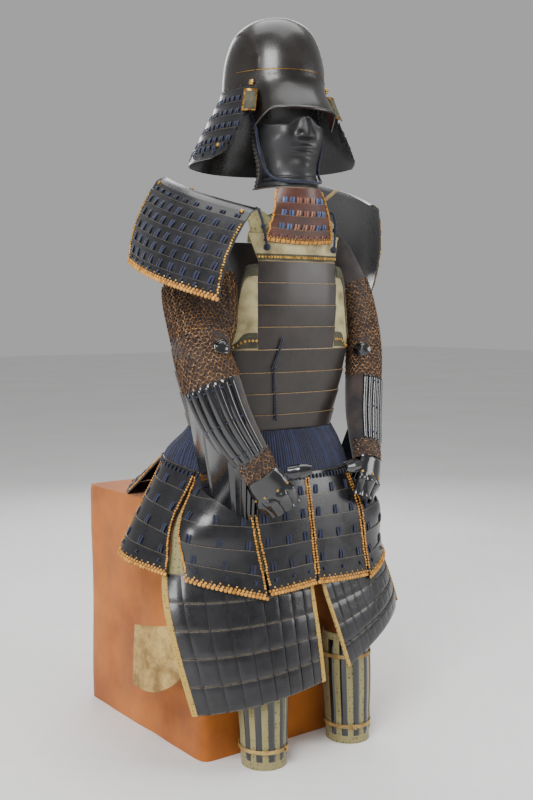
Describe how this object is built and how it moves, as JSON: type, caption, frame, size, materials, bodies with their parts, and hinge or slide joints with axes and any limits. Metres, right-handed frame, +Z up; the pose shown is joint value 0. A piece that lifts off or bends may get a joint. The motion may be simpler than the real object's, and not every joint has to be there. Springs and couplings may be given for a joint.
{
  "type": "samurai armour seated on a cloth-covered chest",
  "caption": "Full lacquered samurai armour with helmet, face guard, sleeves and skirt, hollow, seated on a covered storage chest.",
  "frame": {"origin": "middle of the whole part's box, on the floor", "axes": "+X to the armour's own left, -Y the way it faces, +Z up"},
  "size_m": [0.695, 0.717, 1.653],
  "materials": {
    "helmet_lacquer": "brown-black lacquer, polished and worn",
    "black_lacquer": "grey-black lacquer, semi-gloss",
    "brown_lacquer": "brown-black lacquer, satin",
    "mask_iron": "dark iron-grey lacquer, matt",
    "red_lacquer": "red-brown lacquer, satin",
    "pale_leather": "stencilled cream leather over iron",
    "tan_leather": "tan leather, matt",
    "navy_lace": "braided navy silk",
    "sleeve_cloth": "dark hemp under rusty mail",
    "brocade": "beige-green silk brocade",
    "orange_cloth": "orange-brown cotton cloth"
  },
  "bodies": {
    "root": {"helmet_bowl": "helmet_lacquer", "helmet_brow_plate": "helmet_lacquer", "neck_guard_lame_1": "black_lacquer", "neck_guard_lame_2": "black_lacquer", "neck_guard_lame_3": "black_lacquer", "neck_guard_lame_4": "black_lacquer", "neck_guard_lame_5": "black_lacquer", "turned_plate_right": "black_lacquer", "turned_plate_left": "black_lacquer", "shoulder_guard_right_top": "black_lacquer", "shoulder_guard_right": "black_lacquer", "forearm_splints_right": "black_lacquer", "elbow_plate_right": "black_lacquer", "hand_guard_right": "black_lacquer", "thumb_plate_right": "black_lacquer", "thigh_guard_right": "black_lacquer", "shoulder_guard_left_top": "black_lacquer", "shoulder_guard_left": "black_lacquer", "forearm_splints_left": "black_lacquer", "elbow_plate_left": "black_lacquer", "hand_guard_left": "black_lacquer", "thumb_plate_left": "black_lacquer", "thigh_guard_left": "black_lacquer", "tasset_front_right": "black_lacquer", "tasset_front_left": "black_lacquer", "tasset_side_right": "black_lacquer", "tasset_side_left": "black_lacquer", "tasset_rear_side_right": "black_lacquer", "tasset_rear_side_left": "black_lacquer", "tasset_back_right": "black_lacquer", "tasset_back_left": "black_lacquer", "cuirass_front_upper": "brown_lacquer", "cuirass_front_lower": "brown_lacquer", "cuirass_back_upper": "brown_lacquer", "cuirass_back_lower": "brown_lacquer", "face_guard": "mask_iron", "throat_guard": "red_lacquer", "chest_plate": "pale_leather", "armpit_plate_right": "pale_leather", "armpit_plate_left": "pale_leather", "guard_tie_right": "tan_leather", "guard_tie_left": "tan_leather", "thigh_guard_flap": "tan_leather", "chin_cord": "navy_lace", "toggle_cord_right": "navy_lace", "toggle_cord_left": "navy_lace", "front_cord": "navy_lace", "lacing_front": "navy_lace", "lacing_back": "navy_lace", "sleeve_right": "sleeve_cloth", "sleeve_left": "sleeve_cloth", "shoulder_strap_right": "brocade", "shoulder_strap_left": "brocade", "thigh_guard_apron": "brocade", "shin_guard_right": "brocade", "shin_guard_left": "brocade", "covered_chest": "orange_cloth"}
  },
  "joints": []
}
